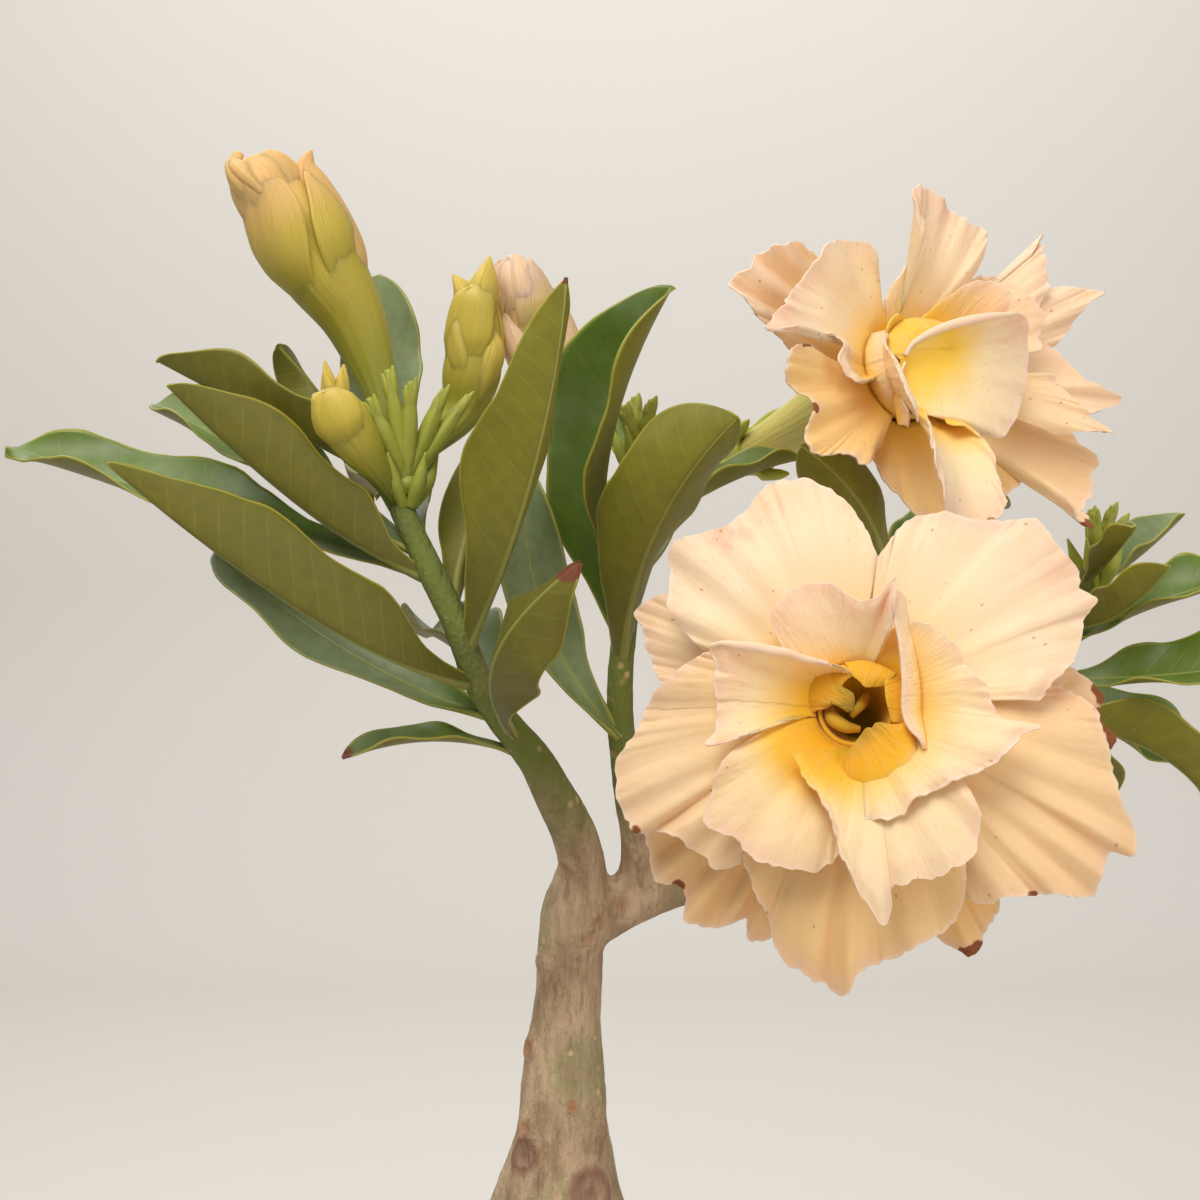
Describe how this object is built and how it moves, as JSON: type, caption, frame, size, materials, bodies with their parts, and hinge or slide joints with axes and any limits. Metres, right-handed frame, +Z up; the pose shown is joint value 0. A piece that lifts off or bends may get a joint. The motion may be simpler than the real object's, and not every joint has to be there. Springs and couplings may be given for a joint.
{
  "type": "potted desert rose adenium",
  "caption": "Desert rose plant with a swollen foot and bare branches in a plain pot, with glossy leaves, buds and open double blooms of creamy yellow petals.",
  "frame": {"origin": "centre of the pot's flat foot, on the surface that it stands on", "axes": "+Z up along the pot and the trunk, the side with the open front bloom looks along -Y, the long leafy branch leans to -X"},
  "size_m": [0.226, 0.1493, 0.3635],
  "materials": {
    "terracotta": "unglazed, matt",
    "soil": "dry, gritty",
    "bark": "smooth grey bark with leaf scars",
    "leaf": "leathery, half glossy",
    "petal": "soft, finely wrinkled",
    "stalk": "soft skin",
    "bud": "soft, folded"
  },
  "bodies": {
    "root": {"pot": "terracotta", "soil": "soil", "trunk": "bark", "leaf_left_01": "leaf", "leaf_left_02": "leaf", "leaf_left_03": "leaf", "leaf_left_04": "leaf", "leaf_left_05": "leaf", "leaf_left_06": "leaf", "leaf_left_07": "leaf", "leaf_left_08": "leaf", "leaf_left_09": "leaf", "leaf_left_10": "leaf", "leaf_left_11": "leaf", "leaf_left_12": "leaf", "leaf_left_13": "leaf", "leaf_left_14": "leaf", "leaf_middle_01": "leaf", "leaf_middle_02": "leaf", "leaf_middle_03": "leaf", "leaf_middle_04": "leaf", "leaf_middle_05": "leaf", "leaf_middle_06": "leaf", "leaf_bloom_01": "leaf", "leaf_bloom_02": "leaf", "leaf_bloom_03": "leaf", "leaf_right_01": "leaf", "leaf_right_02": "leaf", "leaf_right_03": "leaf", "leaf_right_04": "leaf", "leaf_right_05": "leaf", "leaf_right_06": "leaf", "leaf_right_07": "leaf", "leaf_right_08": "leaf", "bloom_front_outer": "petal", "bloom_front_second": "petal", "bloom_front_third": "petal", "bloom_front_centre": "petal", "calyx_front": "stalk", "bloom_back_outer": "petal", "bloom_back_second": "petal", "bloom_back_third": "petal", "bloom_back_centre": "petal", "calyx_back": "stalk", "bud_opening_left": "bud", "bud_green_left": "bud", "bud_pink_middle": "bud", "bud_small_left": "bud", "bud_cluster_left": "stalk", "bud_cluster_middle": "stalk", "bud_cluster_right": "stalk"}
  },
  "joints": []
}
